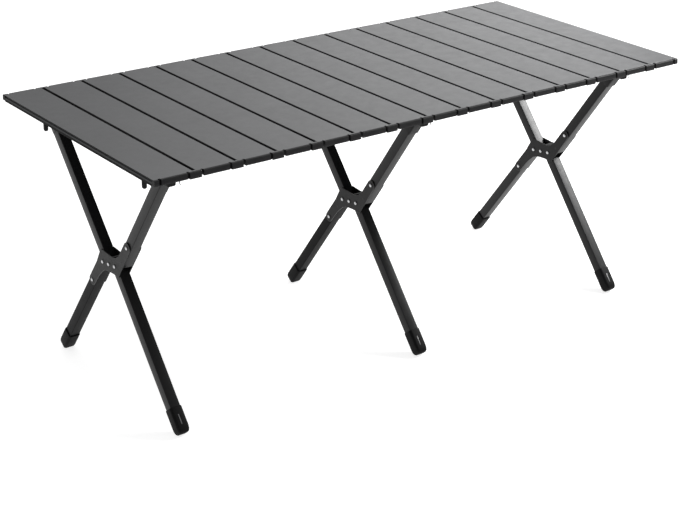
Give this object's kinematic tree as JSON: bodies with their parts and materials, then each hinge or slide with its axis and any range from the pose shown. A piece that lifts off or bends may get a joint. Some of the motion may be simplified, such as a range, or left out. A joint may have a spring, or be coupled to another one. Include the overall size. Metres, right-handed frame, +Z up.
{
  "type": "folding camp table",
  "caption": "Long low folding table: a roll-up top of linked slats on cross-leg tube frames with riveted hub plates and capped feet.",
  "frame": {"origin": "on the floor under the middle of the top", "axes": "+X along the long side of the top, +Y to the back, +Z up"},
  "size_m": [1.2, 0.5416, 0.51],
  "materials": {
    "top_slats": "satin black coating on extruded aluminium",
    "leg_tubes": "satin black coating on aluminium tube",
    "rails": "satin black coating on aluminium tube",
    "hub_plates": "matt black coating on pressed steel",
    "moulded_fittings": "matt black moulded plastic",
    "rivets": "bright steel"
  },
  "bodies": {
    "left_frame": {"left_front_upper_arm": "leg_tubes", "left_back_lower_leg": "leg_tubes", "left_hub_plate_outer": "hub_plates", "left_hub_plate_inner": "hub_plates", "left_back_pivot_rivet": "rivets", "left_front_pivot_rivet": "rivets", "left_front_rail_socket": "moulded_fittings", "left_back_foot_cap": "moulded_fittings", "left_front_rail": "rails"},
    "left_back_arm": {"left_back_upper_arm": "leg_tubes", "left_back_rail_socket": "moulded_fittings", "left_back_rail": "rails"},
    "left_front_leg": {"left_front_lower_leg": "leg_tubes", "left_front_foot_cap": "moulded_fittings"},
    "mid_frame": {"mid_front_upper_arm": "leg_tubes", "mid_back_lower_leg": "leg_tubes", "mid_hub_plate_outer": "hub_plates", "mid_hub_plate_inner": "hub_plates", "mid_back_pivot_rivet": "rivets", "mid_front_pivot_rivet": "rivets", "mid_front_rail_socket": "moulded_fittings", "mid_back_foot_cap": "moulded_fittings"},
    "mid_back_arm": {"mid_back_upper_arm": "leg_tubes", "mid_back_rail_socket": "moulded_fittings"},
    "mid_front_leg": {"mid_front_lower_leg": "leg_tubes", "mid_front_foot_cap": "moulded_fittings"},
    "right_frame": {"right_front_upper_arm": "leg_tubes", "right_back_lower_leg": "leg_tubes", "right_hub_plate_outer": "hub_plates", "right_hub_plate_inner": "hub_plates", "right_back_pivot_rivet": "rivets", "right_front_pivot_rivet": "rivets", "right_front_rail_socket": "moulded_fittings", "right_back_foot_cap": "moulded_fittings", "right_front_rail": "rails"},
    "right_back_arm": {"right_back_upper_arm": "leg_tubes", "right_back_rail_socket": "moulded_fittings", "right_back_rail": "rails"},
    "right_front_leg": {"right_front_lower_leg": "leg_tubes", "right_front_foot_cap": "moulded_fittings"},
    "top_middle": {"slat_08": "top_slats"},
    "top_slat_07": {"slat_07": "top_slats"},
    "top_slat_06": {"slat_06": "top_slats"},
    "top_slat_05": {"slat_05": "top_slats"},
    "top_slat_04": {"slat_04": "top_slats"},
    "top_slat_03": {"slat_03": "top_slats"},
    "top_slat_02": {"slat_02": "top_slats"},
    "top_slat_01": {"slat_01": "top_slats", "left_back_clip": "moulded_fittings", "left_front_clip": "moulded_fittings"},
    "top_slat_09": {"slat_09": "top_slats"},
    "top_slat_10": {"slat_10": "top_slats"},
    "top_slat_11": {"slat_11": "top_slats"},
    "top_slat_12": {"slat_12": "top_slats"},
    "top_slat_13": {"slat_13": "top_slats"},
    "top_slat_14": {"slat_14": "top_slats"},
    "top_slat_15": {"slat_15": "top_slats", "right_back_clip": "moulded_fittings", "right_front_clip": "moulded_fittings"}
  },
  "joints": [
    {"name": "mid_back_arm_fold", "type": "hinge", "parent": "mid_frame", "child": "mid_back_arm", "pos_m": [0.0095, 0.0298, 0.248], "axis": [1, 0, 0], "range_deg": [0, 69]},
    {"name": "mid_front_leg_fold", "type": "hinge", "parent": "mid_frame", "child": "mid_front_leg", "pos_m": [0.0095, -0.0138, 0.2538], "axis": [1, 0, 0], "range_deg": [0, 69]},
    {"name": "left_frame_pull", "type": "slide", "parent": "mid_frame", "child": "left_frame", "axis": [-1, 0, 0], "range_m": [0, 0.03]},
    {"name": "left_back_arm_fold", "type": "hinge", "parent": "left_frame", "child": "left_back_arm", "pos_m": [-0.5276, 0.0298, 0.248], "axis": [1, 0, 0], "range_deg": [0, 69.1]},
    {"name": "left_front_leg_fold", "type": "hinge", "parent": "left_frame", "child": "left_front_leg", "pos_m": [-0.5276, -0.0138, 0.2538], "axis": [1, 0, 0], "range_deg": [0, 69]},
    {"name": "right_frame_pull", "type": "slide", "parent": "mid_frame", "child": "right_frame", "axis": [1, 0, 0], "range_m": [0, 0.03]},
    {"name": "right_back_arm_fold", "type": "hinge", "parent": "right_frame", "child": "right_back_arm", "pos_m": [0.5226, 0.0298, 0.248], "axis": [1, 0, 0], "range_deg": [0, 69.1]},
    {"name": "right_front_leg_fold", "type": "hinge", "parent": "right_frame", "child": "right_front_leg", "pos_m": [0.5226, -0.0138, 0.2538], "axis": [1, 0, 0], "range_deg": [0, 69]},
    {"name": "top_lift", "type": "slide", "parent": "mid_frame", "child": "top_middle", "axis": [0, 0, 1], "range_m": [0, 0.2895]},
    {"name": "top_hinge_07", "type": "hinge", "parent": "top_middle", "child": "top_slat_07", "pos_m": [-0.0402, 0, 0.51], "axis": [0, 1, 0], "range_deg": [0, 32.3]},
    {"name": "top_hinge_06", "type": "hinge", "parent": "top_slat_07", "child": "top_slat_06", "pos_m": [-0.1206, 0, 0.51], "axis": [0, 1, 0], "range_deg": [0, 64.3]},
    {"name": "top_hinge_05", "type": "hinge", "parent": "top_slat_06", "child": "top_slat_05", "pos_m": [-0.201, 0, 0.51], "axis": [0, 1, 0], "range_deg": [0, 42.5]},
    {"name": "top_hinge_04", "type": "hinge", "parent": "top_slat_05", "child": "top_slat_04", "pos_m": [-0.2814, 0, 0.51], "axis": [0, 1, 0], "range_deg": [0, 58.9]},
    {"name": "top_hinge_03", "type": "hinge", "parent": "top_slat_04", "child": "top_slat_03", "pos_m": [-0.3618, 0, 0.51], "axis": [0, 1, 0], "range_deg": [0, 59.3]},
    {"name": "top_hinge_02", "type": "hinge", "parent": "top_slat_03", "child": "top_slat_02", "pos_m": [-0.4422, 0, 0.51], "axis": [0, 1, 0], "range_deg": [0, 76.7]},
    {"name": "top_hinge_01", "type": "hinge", "parent": "top_slat_02", "child": "top_slat_01", "pos_m": [-0.5226, 0, 0.51], "axis": [0, 1, 0], "range_deg": [0, 81.5]},
    {"name": "top_hinge_08", "type": "hinge", "parent": "top_middle", "child": "top_slat_09", "pos_m": [0.0402, 0, 0.51], "axis": [0, -1, 0], "range_deg": [0, 57.4]},
    {"name": "top_hinge_09", "type": "hinge", "parent": "top_slat_09", "child": "top_slat_10", "pos_m": [0.1206, 0, 0.51], "axis": [0, -1, 0], "range_deg": [0, 36.9]},
    {"name": "top_hinge_10", "type": "hinge", "parent": "top_slat_10", "child": "top_slat_11", "pos_m": [0.201, 0, 0.51], "axis": [0, -1, 0], "range_deg": [0, 45.9]},
    {"name": "top_hinge_11", "type": "hinge", "parent": "top_slat_11", "child": "top_slat_12", "pos_m": [0.2814, 0, 0.51], "axis": [0, -1, 0], "range_deg": [0, 43.6]},
    {"name": "top_hinge_12", "type": "hinge", "parent": "top_slat_12", "child": "top_slat_13", "pos_m": [0.3618, 0, 0.51], "axis": [0, -1, 0], "range_deg": [0, 31.3]},
    {"name": "top_hinge_13", "type": "hinge", "parent": "top_slat_13", "child": "top_slat_14", "pos_m": [0.4422, 0, 0.51], "axis": [0, -1, 0], "range_deg": [0, 56.5]},
    {"name": "top_hinge_14", "type": "hinge", "parent": "top_slat_14", "child": "top_slat_15", "pos_m": [0.5226, 0, 0.51], "axis": [0, -1, 0], "range_deg": [0, 3.1]}
  ],
  "couplings": [
    {"joint": "left_back_arm_fold", "follows": "mid_back_arm_fold", "ratio": 1},
    {"joint": "right_back_arm_fold", "follows": "mid_back_arm_fold", "ratio": 1},
    {"joint": "top_lift", "follows": "mid_back_arm_fold", "m_per_rad": 0.24},
    {"joint": "top_hinge_14", "follows": "top_hinge_08", "ratio": 0.05226},
    {"joint": "top_hinge_13", "follows": "top_hinge_08", "ratio": 0.98258},
    {"joint": "top_hinge_12", "follows": "top_hinge_08", "ratio": 0.54355},
    {"joint": "top_hinge_11", "follows": "top_hinge_08", "ratio": 0.75784},
    {"joint": "top_hinge_10", "follows": "top_hinge_08", "ratio": 0.79791},
    {"joint": "top_hinge_09", "follows": "top_hinge_08", "ratio": 0.64111},
    {"joint": "top_hinge_07", "follows": "top_hinge_08", "ratio": 0.56098},
    {"joint": "top_hinge_06", "follows": "top_hinge_08", "ratio": 1.1185},
    {"joint": "top_hinge_05", "follows": "top_hinge_08", "ratio": 0.73868},
    {"joint": "top_hinge_04", "follows": "top_hinge_08", "ratio": 1.0244},
    {"joint": "top_hinge_03", "follows": "top_hinge_08", "ratio": 1.0314},
    {"joint": "top_hinge_02", "follows": "top_hinge_08", "ratio": 1.3345},
    {"joint": "top_hinge_01", "follows": "top_hinge_08", "ratio": 1.4181}
  ]
}
